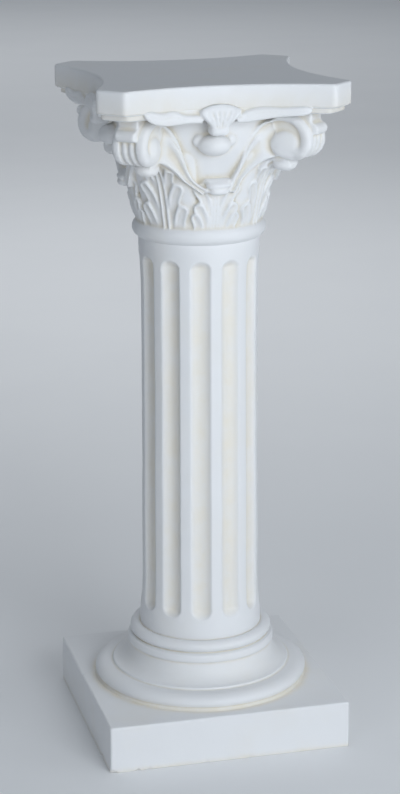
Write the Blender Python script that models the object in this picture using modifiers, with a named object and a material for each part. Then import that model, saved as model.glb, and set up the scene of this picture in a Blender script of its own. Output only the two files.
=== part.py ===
# A plaster display column: square plinth, turned base, fluted shaft, leafy capital with corner scrolls.
# It is one casting, so the script builds one solid, called column.
# Metres, +Z up. The origin is the middle of the plinth's underside and the front looks along -Y.

import math

import bmesh
import bpy
import numpy as np

for old in list(bpy.data.objects):
    bpy.data.objects.remove(old, do_unlink=True)

# Driving sizes
HEIGHT = 0.760
PLINTH_SIDE = 0.280
PLINTH_HEIGHT = 0.0545
PLINTH_EDGE = 0.003
BASE_HEIGHT = 0.068
BASE_MARGIN = 0.0160
SHAFT_RADIUS = 0.0665
CAPITAL_HEIGHT = 0.180
SLAB_HALF = 0.1400
SLAB_THICK = 0.0250

# Base mouldings: levels are shares of the base's height, outs are shares of its spread
FAT_ROLL = (0.783, 0.118, 0.217, 0.126)
LIP_OUT = 0.637
LIP_LEVELS = (0.244, 0.282)
HOLLOW = (0.644, 0.632, 0.344, 0.350)
BAND = ((0.329, 0.630), (0.312, 0.755))
SMALL_ROLL = (0.139, 0.860, 0.139, 0.100)

# Flutes
FLUTES = 12
FLUTE_SHARE = 0.623
FLUTE_DEPTH = 0.0065
FLUTE_TURN = math.radians(2.0)
FLUTE_FOOT_GAP = 0.0205
FLUTE_TOP_GAP = 0.0185
SHAFT_SPREAD = 0.0024
SPREAD_HEIGHT = 0.030

# Astragal, bell and leaves
ASTRAGAL_HEIGHT = 0.0190
ASTRAGAL_OUT = 0.0085
BELL_GAP = 0.0010
BELL_FLARE = 0.0262
BELL_RISE = 0.65
CUSHION_OUT = 0.0205
CUSHION_LEVEL = 0.72
CUSHION_RADIUS = 0.0080
LEAF_THICK = 0.0060
LEAF_LIP = 0.0055
CORNER_LEAF_OUT = 0.0545
CORNER_LEAF_RISE = 0.58
SIDE_LEAF_OUT = 0.0245
SIDE_LEAF_RISE = 0.43

# Top slab, with a thin step under it
SLAB_CUT = 0.0370
SLAB_SAG = 0.0260
SLAB_EDGE = 0.0022
STEP_THICK = 0.0065
STEP_IN = 0.0060

# Corner scrolls
SCROLL_INSET = 0.0550
SCROLL_HALF_WIDTH = 0.0170
SCROLL_FACE = 0.0145
SCROLL_TOP = 0.0310
SCROLL_FOOT = 0.0178
SCROLL_DROP = 0.0672
RIM_GROOVE = 0.0018
BOSS_IN = 0.0050
BOSS_DROP = 0.0690
BOSS_RADIUS = 0.0145
BOSS_BULGE = 0.0062
BAND_WIDTH = 0.0090
BAND_RISE = 0.0036
BAND_EDGE = 0.0008
STRAP_HALF = 0.0125
STRAP_ROLL = 0.0062
STRAP_DROP = 0.0516
CURTAIN_GAP = 0.0165
CURTAIN_BLEND = 0.0080

# Middle ornament of each side, which sits a little to the left of the middle of its side
ORNAMENT_SHIFT = -0.0065
BUD_OUT = 0.0300
BUD_RADII = (0.0185, 0.0160, 0.0105)
BUD_DROP = 0.0655
FAN_RIB = 0.0010
FAN_BACK = 0.0160
SPRAY_BACK = 0.0100

# How far masses reach into each other, so that they join as one
SINK = 0.004
TURN_STEPS = 30
SIDES = 4

# Places worked out from the driving sizes
BASE_TOP = PLINTH_HEIGHT + BASE_HEIGHT
BASE_SPREAD = PLINTH_SIDE / 2 - BASE_MARGIN - SHAFT_RADIUS
CAPITAL_FOOT = HEIGHT - CAPITAL_HEIGHT
SLAB_UNDER = HEIGHT - SLAB_THICK
STEP_UNDER = SLAB_UNDER - STEP_THICK
BELL_FOOT = CAPITAL_FOOT + ASTRAGAL_HEIGHT
BELL_HEIGHT = STEP_UNDER - BELL_FOOT
FLUTE_WIDTH = FLUTE_SHARE * 2 * math.pi * SHAFT_RADIUS / FLUTES
SLAB_INNER = SLAB_HALF - SLAB_CUT / math.sqrt(2)
SCROLL_OUT = SLAB_HALF * math.sqrt(2) - SLAB_CUT / 2 - SCROLL_INSET
SCROLL_LEVEL = HEIGHT - SCROLL_DROP
CURTAIN_MIDDLE = SHAFT_RADIUS + CURTAIN_GAP
SCROLL_U = (SCROLL_OUT - SCROLL_HALF_WIDTH) / math.sqrt(2)


def collection(name):
    """A new collection in the scene."""
    made = bpy.data.collections.new(name)
    bpy.context.scene.collection.children.link(made)
    return made


FINISHED = collection("display column")
JOINED = collection("masses joined into the casting")


def plaster():
    """The white of the casting."""
    material = bpy.data.materials.new("plaster")
    material.use_nodes = True
    shader = material.node_tree.nodes["Principled BSDF"]
    shader.inputs["Base Color"].default_value = (0.80, 0.79, 0.76, 1.0)
    shader.inputs["Roughness"].default_value = 0.62
    shader.inputs["Metallic"].default_value = 0.0
    return material


PLASTER = plaster()


def placed(bm, name, home):
    """An object from this mesh data, in this collection."""
    mesh = bpy.data.meshes.new(name)
    bm.to_mesh(mesh)
    bm.free()
    made = bpy.data.objects.new(name, mesh)
    made.data.materials.append(PLASTER)
    home.objects.link(made)
    if home is JOINED:
        made.hide_render = True
        made.display_type = "WIRE"
    return made


def loft(name, rings):
    """A closed solid through rings that all have the same number of points."""
    bm = bmesh.new()
    rows = [[bm.verts.new(p) for p in ring] for ring in rings]
    count = len(rows[0])
    for low, high in zip(rows, rows[1:]):
        for i in range(count):
            j = (i + 1) % count
            bm.faces.new((low[i], low[j], high[j], high[i]))
    bm.faces.new(rows[0][::-1])
    bm.faces.new(rows[-1])
    bmesh.ops.triangulate(bm, faces=bm.faces[:])
    bmesh.ops.recalc_face_normals(bm, faces=bm.faces[:])
    return placed(bm, name, JOINED)


def turned(name, profile):
    """A solid of revolution from a chain of radius and level that starts at the top of the axis."""
    bm = bmesh.new()
    chain = [bm.verts.new((r, 0.0, z)) for r, z in profile]
    for a, b in zip(chain, chain[1:]):
        bm.edges.new((a, b))
    made = placed(bm, name, JOINED)
    screw = made.modifiers.new("turn", "SCREW")
    screw.steps = TURN_STEPS
    screw.render_steps = TURN_STEPS
    screw.use_merge_vertices = True
    screw.merge_threshold = 0.00005
    screw.use_normal_calculate = True
    return made


def ball(name, point):
    """A round mass: the function gives the place of each point of a sphere of radius one."""
    bm = bmesh.new()
    bmesh.ops.create_uvsphere(bm, u_segments=8, v_segments=4, radius=1.0)
    for v in bm.verts:
        v.co = point(*v.co)
    bmesh.ops.triangulate(bm, faces=bm.faces[:])
    bmesh.ops.recalc_face_normals(bm, faces=bm.faces[:])
    return placed(bm, name, JOINED)


def side_point(side, u, w, z):
    """A point u along a side, w out from the axis and z up; side counts quarter turns."""
    a = side * math.pi / 2
    return (u * math.cos(a) + w * math.sin(a), u * math.sin(a) - w * math.cos(a), z)


def corner_point(corner, out, across, z):
    """A point given out along a diagonal, across it and up; corner 0 is right of side 0."""
    return side_point(corner + 0.5, across, out, z)


def arc(out, level, wide, tall, start, end, count):
    """Points of an elliptic arc about a centre, from one angle to another in degrees."""
    a = np.radians(np.linspace(start, end, count))
    return list(zip(out + wide * np.cos(a), level + tall * np.sin(a)))


def bend(a, b, c, d, count):
    """Points of a smooth curve from a to d that leaves toward b and comes in from c."""
    t = np.linspace(0, 1, count)[:, None]
    a, b, c, d = (np.array(p) for p in (a, b, c, d))
    return (1 - t) ** 3 * a + 3 * t * (1 - t) ** 2 * b + 3 * t ** 2 * (1 - t) * c + t ** 3 * d


def swelling(z):
    """Radius of the shaft between the flutes: it spreads at both ends and thins a little upward."""
    along = (z - BASE_TOP) / (CAPITAL_FOOT - BASE_TOP)
    foot = SHAFT_SPREAD * np.exp(-((z - BASE_TOP) / SPREAD_HEIGHT) ** 2)
    waist = 0.0018 * (1 - np.clip(along / 0.7, 0, 1))
    neck = 0.0016 * np.clip((along - 0.9) / 0.1, 0, 1)
    return SHAFT_RADIUS + foot + waist + neck


def slab_edge(u):
    """How far out the slab's side stands at a place along it: the sides are hollow in the middle."""
    return SLAB_HALF - SLAB_SAG * (1 - (u / SLAB_INNER) ** 2)


# Plinth: a square block with softened edges. The other masses are joined to it at the end.
def make_plinth():
    bm = bmesh.new()
    bmesh.ops.create_cube(bm, size=1.0)
    bmesh.ops.scale(bm, vec=(PLINTH_SIDE, PLINTH_SIDE, PLINTH_HEIGHT), verts=bm.verts[:])
    bmesh.ops.translate(bm, vec=(0, 0, PLINTH_HEIGHT / 2), verts=bm.verts[:])
    soft = [e for e in bm.edges if max(v.co.z for v in e.verts) > PLINTH_HEIGHT / 2]
    bmesh.ops.bevel(bm, geom=soft, offset=PLINTH_EDGE, segments=2, profile=0.5, affect="EDGES")
    return placed(bm, "column", FINISHED)


# Turned base: a fat roll, a hollow that ends in a lip, a band and a smaller roll
def make_base():
    shape = arc(*SMALL_ROLL, 125, -60, 7) + list(reversed(BAND))
    shape += arc(*HOLLOW, 185, 268, 5)
    shape += [(LIP_OUT, LIP_LEVELS[1]), (LIP_OUT, LIP_LEVELS[0])]
    shape += arc(*FAT_ROLL, 90, -45, 5)
    outer = [(SHAFT_RADIUS + BASE_SPREAD * r, PLINTH_HEIGHT + BASE_HEIGHT * z) for r, z in shape]
    foot = PLINTH_HEIGHT - SINK
    return turned("turned base", [(0.0, outer[0][1])] + outer + [(outer[-1][0], foot), (0.0, foot)])


# Fluted shaft: every ring has the same columns, and the flutes' round ends bend the rings
def make_shaft():
    half = FLUTE_WIDTH / 2
    place = np.tile(np.array([-1.0, -0.55, 0.0, 0.55, 1.0]) * half, FLUTES)
    middle = np.repeat(2 * math.pi * (np.arange(FLUTES) + 0.5) / FLUTES + FLUTE_TURN, 5)
    angle = middle + place / SHAFT_RADIUS
    hollow = FLUTE_DEPTH * (1 - (place / half) ** 2)
    round_end = half - np.sqrt(half ** 2 - place ** 2)
    low = BASE_TOP + FLUTE_FOOT_GAP
    high = CAPITAL_FOOT - FLUTE_TOP_GAP
    inset = (round_end, 0.8 * round_end + 0.25 * half, np.full_like(round_end, 1.2 * half))
    depths = (0.0, 0.62, 1.0)
    rows = [(BASE_TOP - 2 * SINK, 0.0), (BASE_TOP + 0.5 * FLUTE_FOOT_GAP, 0.0)]
    rows += [(low + step, depth) for step, depth in zip(inset, depths)]
    rows += [(0.6 * low + 0.4 * high, 1.0)]
    rows += [(high - step, depth) for step, depth in zip(inset[::-1], depths[::-1])]
    rows += [(CAPITAL_FOOT - 0.4 * FLUTE_TOP_GAP, 0.0), (CAPITAL_FOOT + SINK, 0.0)]
    rings = []
    for level, depth in rows:
        z = np.broadcast_to(level, angle.shape)
        r = swelling(z) - depth * hollow
        rings.append(np.stack([r * np.sin(angle), -r * np.cos(angle), z], axis=1))
    return loft("fluted shaft", rings)


# Astragal and bell: a roll, a cup that flares upward and a cushion under the slab
def make_bell():
    cushion = arc(
        SHAFT_RADIUS + CUSHION_OUT, BELL_FOOT + CUSHION_LEVEL * BELL_HEIGHT,
        CUSHION_RADIUS, CUSHION_RADIUS, 90, -90, 6,
    )
    flare = []
    for share in (1.0, 0.86, 0.66, 0.4, 0.0):
        out = BELL_GAP + (BELL_FLARE - BELL_GAP) * share ** 3
        flare.append((SHAFT_RADIUS + out, BELL_FOOT + BELL_RISE * BELL_HEIGHT * share))
    half = ASTRAGAL_HEIGHT / 2
    roll = arc(SHAFT_RADIUS + BELL_GAP, CAPITAL_FOOT + half, ASTRAGAL_OUT - BELL_GAP, half, 75, -90, 6)
    top = STEP_UNDER + SINK
    start = [(0.0, top), (SHAFT_RADIUS + CUSHION_OUT, top)]
    return turned("astragal and bell", start + cushion + flare + roll + [(0.0, roll[-1][1])])


# Top slab with hollow sides and cut corners, over a thinner step
def make_slab():
    along = np.linspace(-SLAB_INNER, SLAB_INNER, 7)

    def ring(shrink, z):
        u = along * (1 - 0.6 * shrink / SLAB_INNER)
        w = slab_edge(along) - shrink
        return [side_point(side, a, b, z) for side in range(SIDES) for a, b in zip(u, w)]

    rings = [
        ring(STEP_IN, STEP_UNDER),
        ring(STEP_IN, SLAB_UNDER),
        ring(SLAB_EDGE / 2, SLAB_UNDER),
        ring(0.0, SLAB_UNDER + SLAB_EDGE),
        ring(0.0, HEIGHT - SLAB_EDGE),
        ring(SLAB_EDGE, HEIGHT),
    ]
    return loft("slab", rings)


# Curtain: the upright sheet that runs from the middle of a side out to the face of the corner scroll.
# Places on it are given by the length along it, the level and the distance in front of it.
CURTAIN_U = np.linspace(0.0, SLAB_HALF, 321)


def curtain_out(u):
    """Distance out from the axis: nearly flat at first, then at 45 degrees along the scroll's face."""
    slant = u + SCROLL_HALF_WIDTH * math.sqrt(2)
    return 0.5 * (CURTAIN_MIDDLE + slant + np.hypot(slant - CURTAIN_MIDDLE, CURTAIN_BLEND))


CURTAIN_W = curtain_out(CURTAIN_U)
CURTAIN_STEPS = np.hypot(np.diff(CURTAIN_U), np.diff(CURTAIN_W))
CURTAIN_S = np.concatenate([[0.0], np.cumsum(CURTAIN_STEPS)])
CURTAIN_SLOPE = np.gradient(CURTAIN_W, CURTAIN_U)
SCROLL_S = np.interp(SCROLL_U, CURTAIN_U, CURTAIN_S)


def on_curtain(side, hand, s, z, front):
    """Points in front of the curtain, on the right half of a side (hand 1) or the left (hand -1)."""
    u = np.interp(s, CURTAIN_S, CURTAIN_U)
    w = np.interp(s, CURTAIN_S, CURTAIN_W)
    slope = np.interp(s, CURTAIN_S, CURTAIN_SLOPE)
    size = np.hypot(1.0, slope)
    near_middle = np.clip(1 - (s / SCROLL_S) ** 3, 0, 1)
    above_leaf = np.clip((z - BELL_FOOT - 0.3 * BELL_HEIGHT) / 0.02, 0, 1)
    u = hand * (u - front * slope / size) + ORNAMENT_SHIFT * near_middle * above_leaf
    w = w + front / size
    return [side_point(side, *p) for p in zip(u, w, z)]


def spiral(turn):
    """Radius of the scroll's outline about its eye: an even spiral that shrinks as it turns."""
    return SCROLL_TOP * (SCROLL_FOOT / SCROLL_TOP) ** (turn / math.pi)


# Stalk and scroll: a channelled stalk climbs from behind the side leaf, and its outer edge
# goes on as a raised band over the eye and down the rim. The two edges are given as shares of the
# scroll's place along the side and of the bell's height, from the capital's foot.
STALK_OUTER = ((0.092, 0.479), (0.566, 0.664), (0.316, 0.973), (0.803, 1.062))
STALK_INNER = ((0.237, 0.456), (0.408, 0.548), (0.592, 0.710), (0.908, 0.764))
STALK_SHARES = np.array([0.0, 0.0, 0.16, 0.36, 1.0, 0.9])
STALK_FRONT = np.array([-0.0085, 0.0006, BAND_RISE, 0.0010, 0.0022, -0.0085])
SCROLL_SHARES = np.array([0.0, 0.0, 0.30, 0.75, 1.0, 1.0])
SCROLL_FRONT = np.array([-0.0050, 0.0006, BAND_RISE, 0.8 * BAND_RISE, -0.0010, -0.0050])


def make_stalk(side, hand):
    rings = []
    for a, b in zip(bend(*STALK_OUTER, 7), bend(*STALK_INNER, 7)):
        s = np.interp(SCROLL_U * np.array([a[0], b[0]]), CURTAIN_U, CURTAIN_S)
        z = CAPITAL_FOOT + BELL_HEIGHT * np.array([a[1], b[1]])
        along = s[0] + STALK_SHARES * (s[1] - s[0])
        up = z[0] + STALK_SHARES * (z[1] - z[0])
        rings.append(on_curtain(side, hand, along, up, STALK_FRONT))
    for turn in np.radians([-12, 28, 66, 106, 165]):
        width = BAND_WIDTH * np.interp(turn, [0, math.pi], [1.0, 0.6])
        r = spiral(max(turn, 0.0)) - BAND_EDGE - SCROLL_SHARES * width
        along = SCROLL_S + r * math.sin(turn)
        up = SCROLL_LEVEL + r * math.cos(turn)
        rings.append(on_curtain(side, hand, along, up, SCROLL_FRONT))
    return loft("stalk and scroll", rings)


# Drum between the two faces of a corner scroll, with ridges down its rim
def make_drum(corner):
    turns = np.radians([-50, 0, 24, 60, 96, 134, 176, 240])
    outline = spiral(np.maximum(turns, 0))
    on_rim = np.clip(turns / 0.5 + 1, 0, 1)
    rings = []
    for step in range(-4, 5):
        width = SCROLL_FACE if abs(step) == 4 else SCROLL_HALF_WIDTH
        r = outline - RIM_GROOVE * on_rim * (step % 2 == 0)
        out = SCROLL_OUT + r * np.sin(turns)
        z = SCROLL_LEVEL + r * np.cos(turns)
        rings.append([corner_point(corner, a, width * step / 4, b) for a, b in zip(out, z)])
    return loft("scroll drum", rings)


# Round boss in the eye of a scroll
def make_boss(corner, hand):
    def point(a, b, c):
        out = SCROLL_OUT - BOSS_IN + BOSS_RADIUS * a
        across = hand * (SCROLL_FACE + BOSS_BULGE * c)
        return corner_point(corner, out, across, HEIGHT - BOSS_DROP + BOSS_RADIUS * b)

    return ball("boss", point)


# Strap over the top of a corner scroll, ending in a small roll
def make_strap(corner):
    rim = SCROLL_OUT + spiral(math.pi / 2)
    roll = arc(rim, HEIGHT - STRAP_DROP, STRAP_ROLL, STRAP_ROLL, -50, 110, 5)
    back = rim - 3 * STRAP_ROLL
    top = [(back, STEP_UNDER), (rim - STRAP_ROLL / 2, STEP_UNDER)]
    outline = top + roll[::-1] + [(back, HEIGHT - STRAP_DROP)]
    rings = [
        [corner_point(corner, out, across, z) for out, z in outline]
        for across in (-STRAP_HALF, STRAP_HALF)
    ]
    return loft("strap", rings)


# Leaves: a thick sheet with two ribs up the middle, laid round the bell and ending in a round lip
LEAF_WIDTHS = (0.0210, 0.0282, 0.0265, 0.0225, 0.0180, 0.0155, 0.0145, 0.0120)
LEAF_PLACES = np.array([-1.0, -0.45, -0.20, 0.0, 0.20, 0.45, 1.0, 0.9, -0.9])
LEAF_RELIEF = np.array([0.0, -0.0010, 0.0018, 0.0, 0.0018, -0.0010, 0.0, -LEAF_THICK, -LEAF_THICK])


def leaf_line(out, rise):
    """Distance out and level up the middle of a leaf, from the astragal to its lip."""
    height = rise * BELL_HEIGHT
    crest = (SHAFT_RADIUS + out - LEAF_LIP, BELL_FOOT + height)
    foot = (SHAFT_RADIUS + 0.003, BELL_FOOT)
    low = (SHAFT_RADIUS + 0.010 + 0.1 * out, BELL_FOOT + 0.45 * height)
    high = (SHAFT_RADIUS + 0.010 + 0.2 * out, BELL_FOOT + 0.90 * height)
    lip = arc(crest[0], crest[1] - LEAF_LIP, LEAF_LIP, LEAF_LIP, 45, -50, 3)
    return np.concatenate([bend(foot, low, high, crest, 5), lip])


def make_leaf(name, turn, line):
    run = np.gradient(line, axis=0)
    run /= np.linalg.norm(run, axis=1, keepdims=True)
    rings = []
    for (out, level), (along_out, along_up), half in zip(line, run, LEAF_WIDTHS):
        angle = LEAF_PLACES * half / max(out, SHAFT_RADIUS)
        r = out + along_up * LEAF_RELIEF
        z = level - along_out * LEAF_RELIEF
        rings.append([side_point(turn, *p) for p in zip(r * np.sin(angle), r * np.cos(angle), z)])
    return loft(name, rings)


# Middle ornament: a round bud under a tongue, with a ribbed fan above on the slab
def make_bud(side):
    def point(a, b, c):
        u = ORNAMENT_SHIFT + BUD_RADII[0] * a
        w = SHAFT_RADIUS + BUD_OUT + BUD_RADII[1] * b
        return side_point(side, u, w, HEIGHT - BUD_DROP + BUD_RADII[2] * c)

    return ball("bud", point)


# Level below the top, half width and distance in front of the slab, up the tongue and the fan
FAN_SHAPE = (
    (0.0535, 0.0085, 0.0045), (0.0500, 0.0105, 0.0065), (0.0435, 0.0103, 0.0062),
    (0.0405, 0.0110, 0.0045), (0.0300, 0.0228, 0.0065), (0.0190, 0.0190, 0.0035),
)
FAN_PLACES = np.array([-1.0, -0.67, -0.33, 0.0, 0.33, 0.67, 1.0, 0.85, -0.85])
FAN_RIBS = FAN_RIB * np.array([-3.0, 0.4, -0.6, 0.6, -0.6, 0.4, -3.0])


def make_fan(side):
    middle = slab_edge(0.0)
    rings = []
    for drop, half, rise in FAN_SHAPE:
        u = ORNAMENT_SHIFT + FAN_PLACES * half
        w = middle + np.concatenate([rise + FAN_RIBS, [-FAN_BACK, -FAN_BACK]])
        rings.append([side_point(side, a, b, HEIGHT - drop) for a, b in zip(u, w)])
    return loft("tongue and fan", rings)


# Share of the side, lower and upper edge below the top, and distance in front of the slab
SPRAY_SHAPE = (
    (0.152, 0.0385, 0.0310, 0.0025), (0.376, 0.0392, 0.0255, 0.0050),
    (0.627, 0.0390, 0.0255, 0.0050), (0.811, 0.0310, 0.0215, 0.0025),
)


# Long low leaf along the slab's lower edge, beside the fan
def make_spray(side, hand):
    rings = []
    for share, low, high, rise in SPRAY_SHAPE:
        u = share * SLAB_INNER
        face = slab_edge(u)
        ring = [
            (face - SPRAY_BACK, low), (face + 0.2 * rise, low), (face + rise, 0.55 * (low + high)),
            (face - SLAB_EDGE / 2, high), (face - SPRAY_BACK, high),
        ]
        rings.append([side_point(side, hand * u, w, HEIGHT - drop) for w, drop in ring])
    return loft("spray", rings)


column = make_plinth()
make_base()
make_shaft()
make_bell()
make_slab()
for k in range(SIDES):
    make_drum(k)
    make_strap(k)
    make_leaf("corner leaf", k + 0.5, leaf_line(CORNER_LEAF_OUT, CORNER_LEAF_RISE))
    make_leaf("side leaf", k, leaf_line(SIDE_LEAF_OUT, SIDE_LEAF_RISE))
    make_bud(k)
    make_fan(k)
    for hand in (-1, 1):
        make_boss(k, hand)
        make_stalk(k, hand)
        make_spray(k, hand)

# One casting: everything is joined to the plinth
union = column.modifiers.new("one casting", "BOOLEAN")
union.operation = "UNION"
union.operand_type = "COLLECTION"
union.collection = JOINED
union.solver = "EXACT"
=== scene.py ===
# %% [markdown]
# # A plaster display column
# The real object is one hollow casting in white plaster: a square plinth, a turned base, a fluted
# shaft and a leafy capital whose corner scrolls carry a flat slab with hollow sides. The packed
# model gives its size and place. This script makes the same forms again as fine surfaces, so that
# the leaves, ribs, creases and soft edges of the casting show, and gives them a plaster finish.

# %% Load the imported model, which fixes every place and size
import math

import bpy
import numpy as np
from mathutils import Matrix, Vector


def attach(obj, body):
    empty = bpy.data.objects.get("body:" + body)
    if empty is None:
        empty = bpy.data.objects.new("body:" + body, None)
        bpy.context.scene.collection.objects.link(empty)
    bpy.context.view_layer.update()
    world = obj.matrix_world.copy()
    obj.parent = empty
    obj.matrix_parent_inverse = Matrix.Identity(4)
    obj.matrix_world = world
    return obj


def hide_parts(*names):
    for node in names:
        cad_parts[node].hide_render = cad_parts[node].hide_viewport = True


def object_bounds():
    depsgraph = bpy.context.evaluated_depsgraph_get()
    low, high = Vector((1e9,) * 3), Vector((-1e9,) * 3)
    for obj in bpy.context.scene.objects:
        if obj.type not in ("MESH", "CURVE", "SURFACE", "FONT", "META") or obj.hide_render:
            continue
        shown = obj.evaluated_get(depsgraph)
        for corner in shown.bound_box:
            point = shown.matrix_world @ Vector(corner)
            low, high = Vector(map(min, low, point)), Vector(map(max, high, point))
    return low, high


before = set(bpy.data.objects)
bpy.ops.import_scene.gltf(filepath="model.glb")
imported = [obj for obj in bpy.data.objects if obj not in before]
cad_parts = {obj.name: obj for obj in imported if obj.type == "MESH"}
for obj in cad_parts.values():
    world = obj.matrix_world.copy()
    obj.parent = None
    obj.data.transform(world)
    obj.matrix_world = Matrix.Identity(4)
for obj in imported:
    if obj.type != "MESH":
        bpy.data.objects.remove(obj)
cad_box = [list(corner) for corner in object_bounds()]
cad_low, cad_high = (np.array(corner) for corner in cad_box)
HEIGHT = cad_high[2]
PLINTH_HALF = cad_high[0]
print("frame:", (cad_high - cad_low).round(4), "m, nodes", sorted(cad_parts))

# %% [markdown]
# ## Main sizes
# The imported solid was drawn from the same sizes, so the fine surfaces lie on its faces. The two
# that can be read from its box are taken from it, and the shaft's radius is compared with it.

# %% Main sizes, in metres
PLINTH_HEIGHT = 0.0545
BASE_HEIGHT = 0.068
SHAFT_RADIUS = 0.0665
CAPITAL_HEIGHT = 0.180
ASTRAGAL_HEIGHT = 0.0190
SLAB_HALF = 0.1400
SLAB_THICK = 0.0250
SLAB_CUT = 0.0370
SLAB_SAG = 0.0260
STEP_THICK = 0.0065
STEP_IN = 0.0060
SINK = 0.004
SIDES = 4

BASE_TOP = PLINTH_HEIGHT + BASE_HEIGHT
BASE_SPREAD = PLINTH_HALF - 0.0160 - SHAFT_RADIUS
CAPITAL_FOOT = HEIGHT - CAPITAL_HEIGHT
SLAB_UNDER = HEIGHT - SLAB_THICK
STEP_UNDER = SLAB_UNDER - STEP_THICK
BELL_FOOT = CAPITAL_FOOT + ASTRAGAL_HEIGHT
BELL_HEIGHT = STEP_UNDER - BELL_FOOT
SLAB_INNER = SLAB_HALF - SLAB_CUT / math.sqrt(2)


def rows_of(items, name):
    """Three numbers of every item, such as the places of a mesh's points, as rows."""
    values = np.empty(len(items) * 3, np.float32)
    items.foreach_get(name, values)
    return values.reshape(-1, 3)


cad_points = rows_of(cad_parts["column"].data.vertices, "co")
middle_band = cad_points[np.abs(cad_points[:, 2] - 0.31) < 0.03]
cad_radius = np.hypot(middle_band[:, 0], middle_band[:, 1]).max()
print(f"shaft radius {SHAFT_RADIUS * 1000:.1f} mm, the frame's shaft reaches {cad_radius * 1000:.1f} mm")

# %% [markdown]
# ## The camera
# The photo was taken from a little above the slab and from the left of the front, from about two
# and a third metres away with a long lens. A camera fitted to the plinth's corners, the rolls and
# the slab gives the place, the turn and the focal length below.

# %% The camera at the photo's viewing angle
CAMERA_PLACE = Vector((-0.5838, -2.2518, 1.0522))
CAMERA_TURN = math.radians(14.55)
CAMERA_DOWN = math.radians(15.91)
CAMERA_ROLL = math.radians(-0.18)
SENSOR = 36.0
FOCAL_IN_HEIGHTS = 2113.0 / 794.0


def camera_axes():
    """Right, up and back directions of a camera that is turned, tipped down and then rolled."""
    ahead = Vector((
        math.sin(CAMERA_TURN) * math.cos(CAMERA_DOWN),
        math.cos(CAMERA_TURN) * math.cos(CAMERA_DOWN),
        -math.sin(CAMERA_DOWN),
    ))
    right = Vector((math.cos(CAMERA_TURN), -math.sin(CAMERA_TURN), 0.0))
    up = right.cross(ahead)
    turned_right = right * math.cos(CAMERA_ROLL) + up * math.sin(CAMERA_ROLL)
    turned_up = up * math.cos(CAMERA_ROLL) - right * math.sin(CAMERA_ROLL)
    return turned_right, turned_up, -ahead


lens = bpy.data.cameras.new("photo camera")
lens.sensor_fit = "VERTICAL"
lens.sensor_height = SENSOR
lens.lens = SENSOR * FOCAL_IN_HEIGHTS
lens.clip_end = 60.0
camera = bpy.data.objects.new("photo camera", lens)
camera.matrix_world = Matrix.Translation(CAMERA_PLACE) @ Matrix(camera_axes()).transposed().to_4x4()
bpy.context.scene.collection.objects.link(camera)
bpy.context.scene.camera = camera
print(f"camera: lens {lens.lens:.1f} mm, {CAMERA_PLACE.length:.2f} m from the plinth's foot")

# %% [markdown]
# ## Light
# In the photo a broad soft light stands low in front, a little to the right: the slab's front is
# the brightest part, its top is dim because the light only grazes it, and the plinth's left side
# is in shade. One large area light does this. Two weaker ones and a weak sky fill the shadows, and
# two more hang behind the column and light only the floor there.

# %% Key light, fills, floor lights and sky
KEY_PLACE = Vector((0.42, -1.85, 0.98))
KEY_AIM = Vector((0.0, 0.0, 0.50))
COOL = (0.90, 0.95, 1.0)
PALE = (0.96, 0.98, 1.0)


def area_light(name, place, aim, size, power, colour):
    """A square area light at a place, facing another place."""
    light = bpy.data.lights.new(name, "AREA")
    light.shape = "SQUARE"
    light.size = size
    light.energy = power
    light.color = colour
    made = bpy.data.objects.new(name, light)
    made.location = place
    made.rotation_euler = (aim - place).to_track_quat("-Z", "Y").to_euler()
    bpy.context.scene.collection.objects.link(made)
    return made


area_light("key light", KEY_PLACE, KEY_AIM, 1.1, 21.0, COOL)
area_light("left fill", Vector((-1.7, -1.6, 1.2)), KEY_AIM, 1.2, 7.0, COOL)
area_light("right fill", Vector((2.0, -1.2, 1.3)), KEY_AIM, 1.2, 9.0, COOL)
near_aim, far_aim = Vector((0.4, 2.2, 0.0)), Vector((0.8, 7.4, 0.0))
near_floor = area_light("near floor light", Vector((0.4, 2.2, 3.4)), near_aim, 2.6, 13.0, PALE)
near_floor.data.spread = math.radians(75)
area_light("far floor light", Vector((0.8, 6.4, 3.4)), far_aim, 4.0, 60.0, PALE)

bpy.context.scene.view_settings.view_transform = "Standard"
sky = bpy.data.worlds.new("studio sky")
sky.use_nodes = True
sky.node_tree.nodes["Background"].inputs["Color"].default_value = (0.80, 0.89, 1.0, 1.0)
sky.node_tree.nodes["Background"].inputs["Strength"].default_value = 0.225
bpy.context.scene.world = sky

# %% [markdown]
# ## Curves
# Turned and carved plaster is all arcs and long bends, so three small formulas give nearly every
# outline here: an elliptic arc, a bend that leaves and arrives in chosen directions, and a smooth
# curve through given places.


# %% Formulas for outlines
def arc(out, level, wide, tall, start, end, count):
    """Centre plus (wide cos a, tall sin a) while the angle a runs from start to end, in degrees."""
    a = np.radians(np.linspace(start, end, count))
    return np.stack([out + wide * np.cos(a), level + tall * np.sin(a)], axis=1)


def bend(a, b, c, d, count):
    """Cubic bend from a to d: the corners a, b, c and d weighted by the four cubic shares of t."""
    t = np.linspace(0, 1, count)[:, None]
    a, b, c, d = (np.array(p) for p in (a, b, c, d))
    return (1 - t) ** 3 * a + 3 * t * (1 - t) ** 2 * b + 3 * t ** 2 * (1 - t) * c + t ** 3 * d


def curve_through(x, places, values):
    """Smooth curve through the values at the places: cubic pieces that share their slopes."""
    places, values = np.array(places, float), np.array(values, float)
    slopes = np.gradient(values, places)
    x = np.clip(x, places[0], places[-1])
    i = np.clip(np.searchsorted(places, x, side="right") - 1, 0, len(places) - 2)
    step = places[i + 1] - places[i]
    t = (x - places[i]) / step
    start = (1 + 2 * t) * (1 - t) ** 2 * values[i] + t * (1 - t) ** 2 * step * slopes[i]
    end = t ** 2 * (3 - 2 * t) * values[i + 1] - t ** 2 * (1 - t) * step * slopes[i + 1]
    return start + end


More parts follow.
